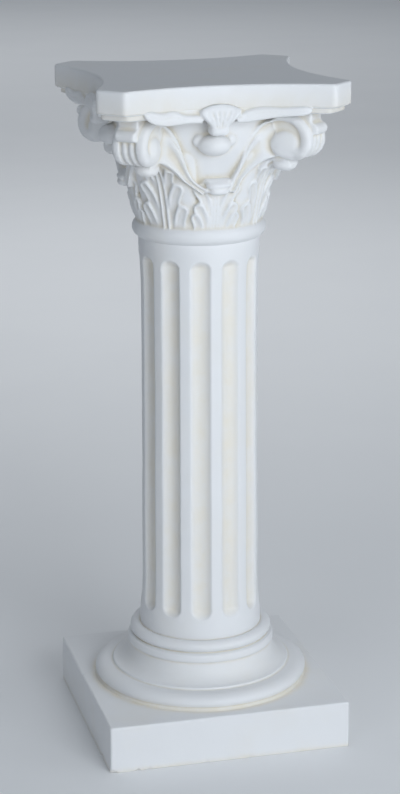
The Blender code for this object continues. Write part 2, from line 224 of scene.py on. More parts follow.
def ease(x):
    """Soft step: 0 below 0, 1 above 1, and 3x squared less 2x cubed between."""
    x = np.clip(x, 0, 1)
    return x * x * (3 - 2 * x)


def ridge(x, width):
    """Round ridge of height 1 at x = 0: the bell curve exp(-(x / width) squared)."""
    return np.exp(-(x / width) ** 2)


def round_end(x, least):
    """Quarter circle from x = 0 to x = 1: the root of 1 - (1 - x) squared, and never below least."""
    return np.sqrt(np.clip(1 - (1 - np.clip(x, 0, 1)) ** 2, least, 1))


def full_turn(count):
    """That many angles, spaced evenly round a full turn."""
    return 2 * math.pi * np.arange(count) / count


def melt(a, b, soft):
    """The larger of two heights, with the crease between them filled over the width soft."""
    near = np.clip(1 - np.abs(a - b) / soft, 0, 1)
    return np.maximum(a, b) + 0.25 * soft * near ** 2


print("an arc of 5 points:", arc(0, 0, 1, 1, 0, 90, 5).round(2).tolist())

# %% [markdown]
# ## Surfaces and shells
# A surface here is a grid of points, rows by columns. A shell is a closed skin: rings of points
# one after another, with a cap at each end. Faces are laid over the whole grid at once.


# %% Turn grids of points into mesh pieces
def on_side(turn, u, w, z):
    """Points u along a side, w out from the axis and z up, turned about the axis by quarter turns."""
    a = turn * math.pi / 2
    u, w, z = np.broadcast_arrays(u, w, z)
    return np.stack([u * math.cos(a) + w * math.sin(a), u * math.sin(a) - w * math.cos(a), z], axis=-1)


def shell(rings):
    """Closed skin over rings[row, column]: cells between rings, and a fan to the middle of each end."""
    rows, cols = rings.shape[:2]
    points = np.concatenate([rings.reshape(-1, 3), [rings[0].mean(0)], [rings[-1].mean(0)]])
    row = np.arange(rows - 1)[:, None] * cols
    col = np.arange(cols)[None, :]
    after = (col + 1) % cols
    quads = np.stack([row + col, row + after, row + cols + after, row + cols + col], axis=-1).reshape(-1, 4)
    col, after = col[0], after[0]
    last = (rows - 1) * cols
    first_cap = np.stack([after, col, np.full(cols, rows * cols)], axis=1)
    last_cap = np.stack([last + col, last + after, np.full(cols, rows * cols + 1)], axis=1)
    return outward(points, quads, np.concatenate([first_cap, last_cap]))


def outward(points, quads, tris):
    """Turns every face over if the skin's signed volume, the sum of a . (b x c) / 6, is negative."""
    corners = np.concatenate([quads[:, [0, 1, 2]], quads[:, [0, 2, 3]], tris])
    a, b, c = (points[corners[:, i]] for i in range(3))
    if (a * np.cross(b, c)).sum() < 0:
        return points, quads[:, ::-1], tris[:, ::-1]
    return points, quads, tris


def gathered(shells):
    """Several shells as one set of points and faces."""
    starts = np.cumsum([0] + [len(points) for points, _, _ in shells])
    points = np.concatenate([s[0] for s in shells])
    quads = np.concatenate([s[1] + start for s, start in zip(shells, starts)])
    tris = np.concatenate([s[2] + start for s, start in zip(shells, starts)])
    return points, quads, tris


print("a square tube of 4 corners:", shell(np.zeros((2, 4, 3)))[1].shape[0], "side faces")


# %% Mesh objects, their triangles and a hand-made unevenness
def mesh_object(name, points, quads, tris):
    """An object at the origin with these faces, smooth all over."""
    mesh = bpy.data.meshes.new(name)
    mesh.from_pydata(points.tolist(), [], quads.tolist() + tris.tolist())
    mesh.polygons.foreach_set("use_smooth", np.ones(len(mesh.polygons), bool))
    made = bpy.data.objects.new(name, mesh)
    bpy.context.scene.collection.objects.link(made)
    return made


def triangles(made):
    """How many triangles an object's mesh has: each face gives its corners less two."""
    mesh = made.data
    return len(mesh.loops) - 2 * len(mesh.polygons)


def wander(points, amount):
    """Hand-made unevenness: a sum of slow waves in three directions moves points in and out."""
    x, y, z = points[..., 0], points[..., 1], points[..., 2]
    wave = np.sin(61 * x + 37 * y + 23 * z) + np.sin(-29 * x + 67 * y + 41 * z + 1.7)
    wave += 0.5 * np.sin(113 * x - 71 * y + 97 * z + 0.6)
    return amount * wave / 2.5


print("unevenness at one place:", round(wander(np.array([0.1, 0.0, 0.3]), 1.0), 3))

# %% [markdown]
# ## Plaster
# Cast plaster is matte and almost white. The raised parts are a cool, clean white. The hollows
# get a faint cream tint and the narrow creases a darker dust colour: partly dust, and partly
# painted shade laid where the surface lies deep. Two numbers are stored at each point of the mesh:
# how deep it lies in a narrow crease, and how deep it lies in a broad hollow. The material mixes
# its colours by them and its roughness by soft patches, with soft clouds and a very fine grain
# over everything.

# %% Colours of the plaster
CLEAN = (0.80, 0.805, 0.815, 1.0)
# The cream and dust colours are laid by depth into hollows and creases: partly dust, partly painted shade.
CREAM = (0.81, 0.745, 0.615, 1.0)
DUST_AND_SHADE = (0.60, 0.55, 0.45, 1.0)
print("clean, cream and dust:", CLEAN[:3], CREAM[:3], DUST_AND_SHADE[:3])


# %% Helpers that place and join nodes
def node(tree, kind, inputs, **settings):
    """A new node with its settings. Each input is fed by a constant or by another node's socket."""
    made = tree.nodes.new(kind)
    for key, value in settings.items():
        setattr(made, key, value)
    for key, value in inputs.items():
        if isinstance(value, bpy.types.NodeSocket):
            tree.links.new(value, made.inputs[key])
        else:
            made.inputs[key].default_value = value
    return made


def noise(tree, place, scale, detail, roughness):
    """Noise over the object's own coordinates. Its scale is in bumps per metre."""
    inputs = {"Vector": place, "Scale": scale, "Detail": detail, "Roughness": roughness}
    return node(tree, "ShaderNodeTexNoise", inputs).outputs["Fac"]


def spread(tree, source, low, high, to_low, to_high):
    """Carries a value from one range to another, without passing the ends."""
    inputs = {"Value": source, "From Min": low, "From Max": high, "To Min": to_low, "To Max": to_high}
    return node(tree, "ShaderNodeMapRange", inputs).outputs["Result"]


def blended(tree, share, first, second):
    """Colour that goes from the first to the second as the share goes from 0 to 1."""
    inputs = {"Factor": share, "A": first, "B": second}
    return node(tree, "ShaderNodeMix", inputs, data_type="RGBA").outputs["Result"]


def maths(tree, operation, a, b):
    """One step of arithmetic on two values, each a number or a socket."""
    return node(tree, "ShaderNodeMath", {0: a, 1: b}, operation=operation).outputs["Value"]


# %% Build the plaster's nodes
plaster = bpy.data.materials.new("plaster")
plaster.use_nodes = True
tree = plaster.node_tree
shader = tree.nodes["Principled BSDF"]
shader.inputs["Metallic"].default_value = 0.0
shader.inputs["Specular IOR Level"].default_value = 0.42
place = node(tree, "ShaderNodeTexCoord", {}).outputs["Object"]
crease = node(tree, "ShaderNodeAttribute", {}, attribute_name="crease").outputs["Fac"]
hollow = node(tree, "ShaderNodeAttribute", {}, attribute_name="hollow").outputs["Fac"]

clouds = noise(tree, place, 14.0, 4.0, 0.55)
patches = noise(tree, place, 55.0, 5.0, 0.6)
grain = noise(tree, place, 900.0, 3.0, 0.6)
pores = noise(tree, place, 260.0, 2.0, 0.5)

# Painted shade with some dust: deep hollows turn cream and narrow creases turn the darker dust colour.
hollow_tint_and_shade = maths(tree, "MULTIPLY", hollow, spread(tree, patches, 0.35, 0.65, 0.55, 1.0))
tint = maths(tree, "ADD", hollow_tint_and_shade, spread(tree, clouds, 0.5, 0.75, 0.0, 0.14))
warm = blended(tree, tint, CLEAN, CREAM)
crease_dust_and_shade = maths(tree, "MULTIPLY", crease, spread(tree, patches, 0.30, 0.70, 0.30, 0.75))
tree.links.new(blended(tree, crease_dust_and_shade, warm, DUST_AND_SHADE), shader.inputs["Base Color"])
tree.links.new(spread(tree, patches, 0.3, 0.7, 0.50, 0.62), shader.inputs["Roughness"])

surface = maths(tree, "ADD", maths(tree, "MULTIPLY", grain, 0.35), maths(tree, "MULTIPLY", pores, 0.65))
bump = node(tree, "ShaderNodeBump", {"Height": surface, "Strength": 0.25, "Distance": 0.0004})
tree.links.new(bump.outputs["Normal"], shader.inputs["Normal"])
print("plaster:", len(tree.nodes), "nodes")


# %% Store the two depths on a mesh and place a finished piece
def stored(mesh, name, values):
    """A number for each point, clipped to 0 to 1, that the material can read."""
    attribute = mesh.attributes.get(name) or mesh.attributes.new(name, "FLOAT", "POINT")
    attribute.data.foreach_set("value", np.clip(values, 0, 1).astype(np.float32))


def finished(piece):
    """The piece gets its plaster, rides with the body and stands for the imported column."""
    piece.data.materials.clear()
    piece.data.materials.append(plaster)
    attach(piece, "root")
    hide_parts("column")
    print(f"{piece.name}: {triangles(piece)} triangles")
    return piece


# %% [markdown]
# ## The plinth
# The plinth is a square block with softened edges and a few small chips, most of them along its
# lower front edge. It could be a bevelled cube, but chips need fine faces along the edges, so it
# is a rounded square outline carried up a rounded profile. The underside stays flat.

# %% Rounded square outline and the plinth's profile
PLINTH_ROUND = 0.0024
ROLL_FOOT = 0.1245


def rounded_square(half, radius, along, round_steps):
    """Outline of a square: straight sides of evenly spaced points joined by quarter circles."""
    flat = half - radius
    run = np.linspace(-flat, flat, along)
    side = np.stack([run, np.full(along, half)], axis=1)
    turn = arc(flat, flat, radius, radius, 90, 0, round_steps)[1:-1]
    quarter = np.concatenate([side, turn])
    return np.concatenate([on_side(k, quarter[:, 0], quarter[:, 1], 0.0)[:, :2] for k in range(SIDES)])


rise = np.concatenate([
    [[0.0, 0.0]],
    arc(-0.0008, 0.0008, 0.0008, 0.0008, -90, 0, 4),
    np.stack([np.zeros(10), np.linspace(0.0016, 0.010, 10)], axis=1),
    np.stack([np.zeros(14), np.linspace(0.014, PLINTH_HEIGHT - PLINTH_ROUND - 0.001, 14)], axis=1),
    arc(-PLINTH_ROUND, PLINTH_HEIGHT - PLINTH_ROUND, PLINTH_ROUND, PLINTH_ROUND, 0, 90, 8),
    np.stack([np.linspace(-0.004, -0.048, 18), np.full(18, PLINTH_HEIGHT)], axis=1),
])
rise[0, 0] = -0.004
outline = rounded_square(PLINTH_HALF, PLINTH_ROUND, 250, 8)
shrink = 1 + rise[:, 0] / PLINTH_HALF
block = np.empty((len(rise), len(outline), 3))
block[:, :, :2] = outline[None] * shrink[:, None, None]
block[:, :, 2] = rise[:, 1, None]
print("plinth:", len(outline), "points round it,", len(rise), "levels")

# %% Chips along the edges, and a slightly uneven surface
# Each chip: side, place along it, level, half length, depth
CHIPS = (
    (0, -0.1385, 0.000, 0.0036, 0.0022), (0, -0.1340, 0.000, 0.0022, 0.0014),
    (0, -0.1085, 0.000, 0.0022, 0.0018), (0, -0.0960, 0.000, 0.0034, 0.0009),
    (0, -0.0300, 0.000, 0.0040, 0.0007), (0, 0.0220, 0.000, 0.0030, 0.0006),
    (1, -0.0600, 0.000, 0.0040, 0.0016), (2, 0.0450, 0.000, 0.0050, 0.0018),
    (3, 0.0950, 0.000, 0.0045, 0.0016), (3, -0.0200, 0.0545, 0.0035, 0.0010),
)
top_ring = np.abs(block[:, :, 2] - PLINTH_HEIGHT) < 1e-6
for side, along, level, half, depth in CHIPS:
    middle = on_side(side, along, PLINTH_HALF, level)
    away = np.linalg.norm((block - middle) * [1.0, 1.0, 0.8], axis=-1)
    bite = depth * np.clip(1 - (away / half) ** 2, 0, 1) ** 0.6
    inward = on_side(side, 0.0, -1.0, 0.25 if level < 0.01 else -0.6)
    block += bite[..., None] * inward
side_faces = (block[:, :, 2] > 0.004) & ~top_ring
block[:, :, :2] *= (1 - np.abs(wander(block, 0.0004)) * side_faces / PLINTH_HALF)[..., None]
plinth = mesh_object("plinth", *shell(block))
from_axis = np.hypot(block[:, :, 0], block[:, :, 1]).ravel()
# Painted shade: a darker band along the plinth's foot, where it meets the floor, and a cream band on its
# top round the roll's foot.
foot_shade = 0.5 * ridge(block[:, :, 2].ravel(), 0.004)
seam_shade = 0.8 * top_ring.ravel() * ridge(from_axis - ROLL_FOOT, 0.0045)
stored(plinth.data, "crease", np.append(0.4 * foot_shade, [0, 0]))
stored(plinth.data, "hollow", np.append(seam_shade + foot_shade, [0, 0]))
finished(plinth)

# %% [markdown]
# ## Base and shaft
# Base and shaft are turned forms, and the flutes are cut into the shaft. Both are one surface
# here: the profile of rolls and hollows goes round the axis, and on the shaft the radius is made
# less by the depth of the flutes. The flutes have round ends, so their width shrinks there.

# %% Profile of the turned base
FAT_ROLL = (0.783, 0.118, 0.217, 0.126)
LIP_OUT = 0.637
HOLLOW = (0.644, 0.632, 0.344, 0.350)
SMALL_ROLL = (0.139, 0.860, 0.139, 0.100)


def run_length(points):
    """Length along a line up to each of its points."""
    return np.concatenate([[0.0], np.cumsum(np.linalg.norm(np.diff(points, axis=0), axis=1))])


def shared_out(points, count):
    """The same line with that many points, spaced evenly along it."""
    length = run_length(points)
    at = np.linspace(0, length[-1], count)
    return np.stack([np.interp(at, length, points[:, i]) for i in range(points.shape[1])], axis=1)


def evenly(points, step):
    """The same line with points at even steps along it."""
    return shared_out(points, max(2, round(run_length(points)[-1] / step) + 1))


def softened(points, rounds):
    """Each inner point moves half way to the middle of its neighbours, again and again."""
    points = points.copy()
    for _ in range(rounds):
        points[1:-1] = 0.5 * points[1:-1] + 0.25 * (points[:-2] + points[2:])
    return points


base_shares = np.concatenate([
    [[1.020, -0.020], [1.010, 0.000], [0.990, 0.012]],
    arc(*FAT_ROLL, -34, 90, 40),
    [[LIP_OUT + 0.010, 0.244], [LIP_OUT, 0.254], [LIP_OUT - 0.002, 0.274], [LIP_OUT - 0.010, 0.284]],
    arc(*HOLLOW, 266, 184, 40),
    [[0.308, 0.624], [0.322, 0.628], [0.331, 0.640], [0.331, 0.690], [0.320, 0.735], [0.298, 0.757]],
    [[0.255, 0.763]],
    arc(*SMALL_ROLL, -62, 122, 44),
])
base_line = np.stack([
    SHAFT_RADIUS + BASE_SPREAD * base_shares[:, 0],
    PLINTH_HEIGHT + BASE_HEIGHT * base_shares[:, 1],
], axis=1)
base_line = softened(evenly(base_line, 0.0007), 2)
print("base profile:", len(base_line), "points, widest", round(base_line[:, 0].max(), 4))

# %% Levels of the shaft and the radius between the flutes
FLUTES = 12
FLUTE_WIDTH = 0.623 * 2 * math.pi * SHAFT_RADIUS / FLUTES
FLUTE_DEPTH = 0.0065
FLUTE_TURN = math.radians(2.0)
FLUTE_FOOT = BASE_TOP + 0.0205
FLUTE_TOP = CAPITAL_FOOT - 0.0185
FLUTE_END = 0.018
SHAFT_SPREAD = 0.0024
SPREAD_HEIGHT = 0.030


def swelling(z):
    """Shaft radius: it spreads at the foot and the neck, and thins a little on the way up."""
    along = (z - BASE_TOP) / (CAPITAL_FOOT - BASE_TOP)
    foot = SHAFT_SPREAD * ridge(z - BASE_TOP, SPREAD_HEIGHT)
    waist = 0.0018 * (1 - np.clip(along / 0.7, 0, 1))
    neck = 0.0016 * ease((along - 0.88) / 0.12)
    return SHAFT_RADIUS + foot + waist + neck


levels = np.concatenate([
    np.linspace(BASE_TOP - 0.0032, FLUTE_FOOT, 24)[:-1],
    np.linspace(FLUTE_FOOT, FLUTE_FOOT + FLUTE_END, 26)[:-1],
    np.linspace(FLUTE_FOOT + FLUTE_END, FLUTE_TOP - FLUTE_END, 60)[:-1],
    np.linspace(FLUTE_TOP - FLUTE_END, FLUTE_TOP, 26)[:-1],
    np.linspace(FLUTE_TOP, CAPITAL_FOOT + SINK, 18),
])
shaft_line = np.stack([swelling(levels), levels], axis=1)
lathe_line = np.concatenate([base_line, shaft_line])
print("shaft:", len(levels), "levels, widest", round(shaft_line[:, 0].max(), 4))

# %% Cut the flutes and turn the surface
COLUMNS_PER_FLUTE = 26
turn = full_turn(FLUTES * COLUMNS_PER_FLUTE)
pitch = 2 * math.pi / FLUTES
from_middle = ((turn - FLUTE_TURN + pitch / 2) % pitch - pitch / 2) * SHAFT_RADIUS
z = lathe_line[:, 1, None]
radius = lathe_line[:, 0, None]
half = FLUTE_WIDTH / 2


def flute_depth(x, z):
    """Share of the full depth: an ellipse across, x over the half width left at that level.
    Near an end the half width follows a circle, so that the flute ends round."""
    end = np.minimum(z - FLUTE_FOOT, FLUTE_TOP - z)
    left = np.clip(end / half, 0, 1)
    wide = half * round_end(left, 1e-9)
    across = np.clip(1 - (x / wide) ** 2, 0, 1)
    return across ** 0.62 * ease(0.12 + left * 1.1) * (end > 0)


depth = flute_depth(from_middle[None, :], z)
tilted = turn + pitch / 2
lathe = np.stack([
    (radius - FLUTE_DEPTH * depth) * np.sin(tilted),
    -(radius - FLUTE_DEPTH * depth) * np.cos(tilted),
    np.broadcast_to(z, depth.shape),
], axis=-1)
lathe[:, :, :2] *= (1 + wander(lathe, 0.0003) / SHAFT_RADIUS)[..., None]
shaft = mesh_object("base_and_shaft", *shell(lathe))
print("flutes:", FLUTES, "of", round(FLUTE_WIDTH * 1000, 1), "mm")

# %% Painted shade with some dust: cream tint in the flutes, in the creases of the base and along the roll's foot
soft_line = softened(lathe_line, 12)
step_in = lathe_line[:, 0] - soft_line[:, 0]
in_crease = np.clip(-step_in / 0.0005, 0, 1) * (lathe_line[:, 1] < BASE_TOP + 0.004)
# Painted shade along the roll's foot, where the base meets the plinth.
roll_foot_shade = ridge(lathe_line[:, 1] - PLINTH_HEIGHT, 0.003)
crease_value = np.maximum(in_crease, 0.55 * roll_foot_shade)[:, None] * np.ones(len(turn))
hollow_value = np.maximum(0.62 * depth ** 0.8, 0.7 * in_crease[:, None])
hollow_value = np.maximum(hollow_value, 0.8 * roll_foot_shade[:, None])
stored(shaft.data, "crease", np.append(0.6 * crease_value.ravel(), [0, 0]))
stored(shaft.data, "hollow", np.append(hollow_value.ravel(), [0, 0]))
finished(shaft)

# %% [markdown]
# ## The capital
# The capital is a bell with leaves, stalks, scrolls and a slab, all cast in one. Its parts run
# into each other with small soft fillets, as plaster does in a mould. Each part is worked out as
# its own closed shell, and then a voxel remesh melts all the shells into one skin.

# %% Bell and astragal
FLARE_LEVELS = (0.0, 0.15, 0.30, 0.42, 0.52, 0.60, 0.68, 0.78, 0.90, 1.03)
FLARE_OUTS = (0.0010, 0.0014, 0.0038, 0.0085, 0.0142, 0.0196, 0.0240, 0.0270, 0.0283, 0.0285)
AROUND = full_turn(240)


def lathe_shell(profile):
    """Profile of radius and level carried round the axis."""
    r, z = profile[:, 0, None], profile[:, 1, None]
    return shell(np.stack([r * np.sin(AROUND), -r * np.cos(AROUND), z + 0 * AROUND], axis=-1))


share = np.linspace(0, FLARE_LEVELS[-1], 60)
flare = np.stack([
    SHAFT_RADIUS + curve_through(share, FLARE_LEVELS, FLARE_OUTS),
    BELL_FOOT + BELL_HEIGHT * share,
], axis=1)
bell_line = np.concatenate([
    [[SHAFT_RADIUS + 0.0008, CAPITAL_FOOT - 0.0015], [SHAFT_RADIUS + 0.0022, CAPITAL_FOOT]],
    arc(SHAFT_RADIUS, CAPITAL_FOOT + ASTRAGAL_HEIGHT / 2, 0.0085, ASTRAGAL_HEIGHT / 2, -78, 80, 20),
    flare,
])
parts = {"bell": lathe_shell(bell_line)}


def filler(turn):
    """Swelling of the bell between two leaves: an ellipse that leans out and thickens upwards."""
    a = full_turn(40)
    t = np.linspace(0, 1, 40)[:, None]
    out = SHAFT_RADIUS + 0.0008 + 0.0200 * t ** 1.6
    size = round_end((1 - t) / 0.15, 0.02)
    thick = 0.0016 + 0.0072 * ease(t / 0.62)
    return shell(on_side(turn, (0.0130 + 0.0040 * t) * size * np.cos(a), out + thick * size * np.sin(a),
                         BELL_FOOT - 0.004 + 0.094 * t + 0 * a))


for k in range(SIDES):
    parts[f"filler {k} right"] = filler(k + 0.31)
    parts[f"filler {k} left"] = filler(k - 0.31)
print("bell:", len(bell_line), "levels, widest", round(bell_line[:, 0].max(), 4))

# %% [markdown]
# ### The slab
# The slab has hollow sides and cut corners, and a thinner step lies under it. Its plan is worked
# out as one closed outline whose corners are softened, and the outline is carried up a profile.


# %% Slab and step
PLAN_POINTS = 520
SLAB_ROUND = 0.0026


def slab_edge(u):
    """How far out the slab's side stands at u: a parabola that is lowest in the middle."""
    return SLAB_HALF - SLAB_SAG * (1 - (u / SLAB_INNER) ** 2)


def slab_plan(inset):
    """The slab's outline, moved inwards: hollow sides and straight cuts, with softened corners."""
    u = np.linspace(-SLAB_INNER, SLAB_INNER, 90)
    side = (u * (1 - 0.6 * inset / SLAB_INNER), slab_edge(u) - inset)
    ring = np.concatenate([on_side(k, *side, 0.0)[:, :2] for k in range(SIDES)])
    even = evenly(np.concatenate([ring, ring[:1]]), 0.0020)[:-1]
    for _ in range(5):
        neighbours = np.roll(even, 1, axis=0) + np.roll(even, -1, axis=0)
        even = 0.5 * even + 0.25 * neighbours
    return shared_out(even, PLAN_POINTS)


slab_profile = np.concatenate([
    [[0.040, STEP_UNDER], [0.020, STEP_UNDER]],
    arc(-STEP_IN - 0.0012, STEP_UNDER + 0.0012, 0.0012, 0.0012, -90, 0, 4) * [-1, 1],
    [[STEP_IN, SLAB_UNDER - 0.0006], [STEP_IN - 0.0006, SLAB_UNDER]],
    arc(-0.0018, SLAB_UNDER + 0.0018, 0.0018, 0.0018, -80, 0, 5) * [-1, 1],
    arc(-SLAB_ROUND, HEIGHT - SLAB_ROUND, SLAB_ROUND, SLAB_ROUND, 0, 90, 7) * [-1, 1],
    [[0.0032, HEIGHT], [0.012, HEIGHT], [0.030, HEIGHT], [0.060, HEIGHT]],
])


def slab_shell(more_inset, lower):
    """The outline carried up the profile, moved in and down by small amounts."""
    return shell(np.stack([
        np.concatenate([slab_plan(inset + more_inset), np.full((PLAN_POINTS, 1), z - lower)], axis=1)
        for inset, z in slab_profile
    ]))


parts["core of the slab"] = slab_shell(0.0010, 0.0010)
slab = mesh_object("slab", *slab_shell(0.0, 0.0))
# Painted shade with some dust: the slab turns cream and darker towards its underside and on the step below
# it.
under = ease((SLAB_UNDER + 0.0045 - rows_of(slab.data.vertices, "co")[:, 2]) / 0.0045)
stored(slab.data, "crease", 0.35 * under)
stored(slab.data, "hollow", 0.45 * under)
finished(slab)

# %% [markdown]
# ### Leaves
# Four large leaves climb to the corners and curl out under the scrolls, and four shorter ones
# stand between them. A leaf is a sheet that follows a bent line up the bell. Ribs run up its
# middle, and three leaflets grow on each side of them. A leaflet is a tongue with a raised rim. It
# climbs, bends outwards and stands off at its end, and each overlaps the one above it.


# %% The line up the middle of a leaf
def leaf_line(out, rise, turn_over):
    """Line up the middle of a leaf: a bend up the bell, then an arc that turns the tip over."""
    height = rise * BELL_HEIGHT
    lip = 0.0055
    crest = (SHAFT_RADIUS + out - lip, BELL_FOOT + height)
    foot = (SHAFT_RADIUS + 0.003, BELL_FOOT - 0.002)
    low = (SHAFT_RADIUS + 0.0095 + 0.03 * out, BELL_FOOT + 0.43 * height)
    high = (SHAFT_RADIUS + 0.0105 + 0.07 * out, BELL_FOOT + 1.00 * height)
    climb = bend(foot, low, high, crest, 80)
    over = arc(crest[0], crest[1] - lip, lip, lip, 84, -turn_over, 16)
    return evenly(np.concatenate([climb, over]), 0.0009)


print("a corner leaf's line:", len(leaf_line(0.0480, 0.575, 20)), "points")


# %% One leaflet
def leaflet(along, off, path, half, base, lift):
    """Height of a leaflet: d is the distance from its path over its half width. The rim is a
    ridge at d = 0.72, the middle is hollow, and the end stands off by the square of the way along.
    Past the rim the height falls away, most of all at the end."""
    path = evenly(bend(path[0], path[1], path[1], path[2], 30), 0.0010)
    gap = np.hypot(along[..., None] - path[:, 0], off[..., None] - path[:, 1])
    way = gap.argmin(-1) / (len(path) - 1)
    d = gap.min(-1) / half
    rim = 0.0017 * ridge(d - 0.72, 0.26) * ease((way - 0.15) / 0.5)
    vein = 0.0005 * ridge(d, 0.16) * ease(way / 0.3) * (1 - ease((way - 0.8) / 0.2))
    height = base * ease(way / 0.4) + lift * way ** 2 + rim + vein - 0.0008 * (1 - d ** 2)
    return height - (0.0014 + 0.0030 * way) * ease((d - 0.90) / 0.25), d


# %% The relief of a whole leaf
def leaf_relief(along, across, length, ribs, leaflets):
    """Height of the leaf's face and how far it reaches: ribs beside the middle, then each
    leaflet laid over the one before it with a small soft crease."""
    off = np.abs(across)
    fade = 1 - ease((along / length - 0.80) / 0.10)
    face = np.zeros_like(off)
    for place, height, width in ribs:
        groove = 0.35 * ridge(np.abs(across - place) - 2.2 * width, width)
        face = face + height * (ridge(across - place, width) - groove) * fade
    reach = np.zeros_like(off)
    for path, half, base, lift in leaflets:
        height, d = leaflet(along, off, path, half, base, lift)
        face = np.where(d < 1.15, melt(face, height, 0.0007), face)
        reach = np.maximum(reach, off * (d < 0.97))
    return face, reach


# %% Ribs and leaflets of the two kinds of leaf
LEAF_THICK = 0.0060
CORNER_RIBS = ((-0.0020, 0.0025, 0.0013), (0.0044, 0.0025, 0.0013))
SIDE_RIBS = tuple((place, 0.0006, 0.0008) for place in (-0.0085, -0.0051, -0.0017, 0.0017, 0.0051, 0.0085))
# Each leaflet: path as (along, off) from foot over a bend to the end, half width, base, lift
CORNER_LEAFLETS = (
    (((0.044, 0.0100), (0.060, 0.0115), (0.0710, 0.0165)), 0.0056, 0.0004, 0.0034),
    (((0.014, 0.0120), (0.036, 0.0135), (0.0490, 0.0205)), 0.0072, 0.0006, 0.0026),
    (((-0.004, 0.0160), (0.012, 0.0175), (0.0230, 0.0222)), 0.0070, 0.0006, 0.0020),
)
SIDE_LEAFLETS = (
    (((0.020, 0.0095), (0.036, 0.0125), (0.0470, 0.0200)), 0.0066, 0.0006, 0.0026),
    (((0.002, 0.0115), (0.014, 0.0135), (0.0260, 0.0190)), 0.0066, 0.0005, 0.0022),
    (((-0.004, 0.0170), (0.006, 0.0185), (0.0150, 0.0222)), 0.0058, 0.0006, 0.0016),
)
print("leaflets on each side:", len(CORNER_LEAFLETS), "and", len(SIDE_LEAFLETS))


# %% A leaf as a closed sheet
def leaf(turn, line, widths, ribs, leaflets):
    """A closed sheet: its face across the line with relief, and its back a thickness behind. It
    is as wide as the plain widths or its leaflets, whichever reach further."""
    length = run_length(line)
    run = np.gradient(line, axis=0)
    run /= np.linalg.norm(run, axis=1, keepdims=True)
    share = length / length[-1]
    half = curve_through(share, np.linspace(0, 1, len(widths)), widths)
    half = half * round_end((1 - share) / 0.09, 0.02)
    search = np.linspace(0, 0.034, 120)[None, :] + 0 * length[:, None]
    reach = leaf_relief(length[:, None] + 0 * search, search, length[-1], ribs, leaflets)[1].max(1)
    half = softened(np.maximum(half, reach)[:, None], 2)[:, 0]
    place = np.sin(np.linspace(-1, 1, 81) * math.pi / 2)
    across = place[None, :] * half[:, None]
    face = leaf_relief(length[:, None] + 0 * across, across, length[-1], ribs, leaflets)[0]
    face = face - 0.0022 * ease((np.abs(place) - 0.94) / 0.06)
    back_place = place[-2:0:-6]
    back = np.full((len(line), len(back_place)), -LEAF_THICK)
    across = np.concatenate([across, 0.9 * back_place[None, :] * half[:, None]], axis=1)
    face = np.concatenate([face, back], axis=1)
    angle = across / np.maximum(line[:, 0, None], SHAFT_RADIUS)
    r = line[:, 0, None] + run[:, 1, None] * face
    z = line[:, 1, None] - run[:, 0, None] * face
    return shell(on_side(turn, r * np.sin(angle), r * np.cos(angle), z))


# %% Corner leaves and side leaves
CORNER_WIDTHS = (0.0205, 0.0215, 0.0190, 0.0165, 0.0140, 0.0125, 0.0120, 0.0132, 0.0140)
SIDE_WIDTHS = (0.0240, 0.0250, 0.0230, 0.0205, 0.0185, 0.0165, 0.0150, 0.0145, 0.0140)
corner_line = leaf_line(0.0480, 0.575, 20)
side_line = leaf_line(0.0190, 0.392, -20)
for k in range(SIDES):
    parts[f"corner leaf {k}"] = leaf(k + 0.5, corner_line, CORNER_WIDTHS, CORNER_RIBS, CORNER_LEAFLETS)
    parts[f"side leaf {k}"] = leaf(k, side_line, SIDE_WIDTHS, SIDE_RIBS, SIDE_LEAFLETS)
print("capital so far:", len(parts), "shells")


# %% Tips: two soft pads on a side leaf, one round tongue on a corner leaf
def pad(turn, u, w, z, half_u, half_w, half_z, square):
    """Rounded pad: a ball whose level circles are squared off by the power square."""
    lat = np.linspace(-math.pi / 2, math.pi / 2, 25)[1:-1, None]
    lon = full_turn(48)[None, :]

    def power(value):
        return np.sign(value) * np.abs(value) ** square

    x = half_u * power(np.cos(lon)) * np.cos(lat) ** square
    y = half_w * power(np.sin(lon)) * np.cos(lat) ** square
    return shell(on_side(turn, u + x, w + y, z + half_z * np.sin(lat) + 0 * lon))


# Each pad: place along the side, out and up, its three half sizes, and the power that squares it off
UPPER_TIP = (-0.0005, SHAFT_RADIUS + 0.0185, 0.6487, 0.0132, 0.0074, 0.0040, 0.75)
LOWER_TIP = (-0.0002, SHAFT_RADIUS + 0.0185, 0.6426, 0.0106, 0.0072, 0.0044, 0.8)
CORNER_TIP = (0.0, 0.1090, 0.6690, 0.0125, 0.0130, 0.0090, 0.8)
for k in range(SIDES):
    parts[f"upper tip {k}"] = pad(k, *UPPER_TIP)
    parts[f"lower tip {k}"] = pad(k, *LOWER_TIP)
    parts[f"corner tip {k}"] = pad(k + 0.5, *CORNER_TIP)
print("with the tips:", len(parts), "shells")

# %% [markdown]
# ### Stalks and scrolls
# From behind each side leaf two stalks climb and spread to the corners. A stalk is a broad
# channel between a doubled ridge and a thin margin. It stands on an upright sheet that runs along
# the side and then turns to 45 degrees along the scroll. Places on this sheet are given by the
# length along it, the level and the height in front of it.

# %% The upright sheet that carries stalks and scroll faces
SCROLL_HALF_WIDTH = 0.0170
SCROLL_TOP = 0.0310
SCROLL_FOOT = 0.0178
SCROLL_OUT = SLAB_HALF * math.sqrt(2) - SLAB_CUT / 2 - 0.0550
SCROLL_LEVEL = HEIGHT - 0.0672
SCROLL_U = (SCROLL_OUT - SCROLL_HALF_WIDTH) / math.sqrt(2)
ORNAMENT_SHIFT = -0.0065
SHEET_MIDDLE = SHAFT_RADIUS + 0.0165
SHEET_BLEND = 0.0080

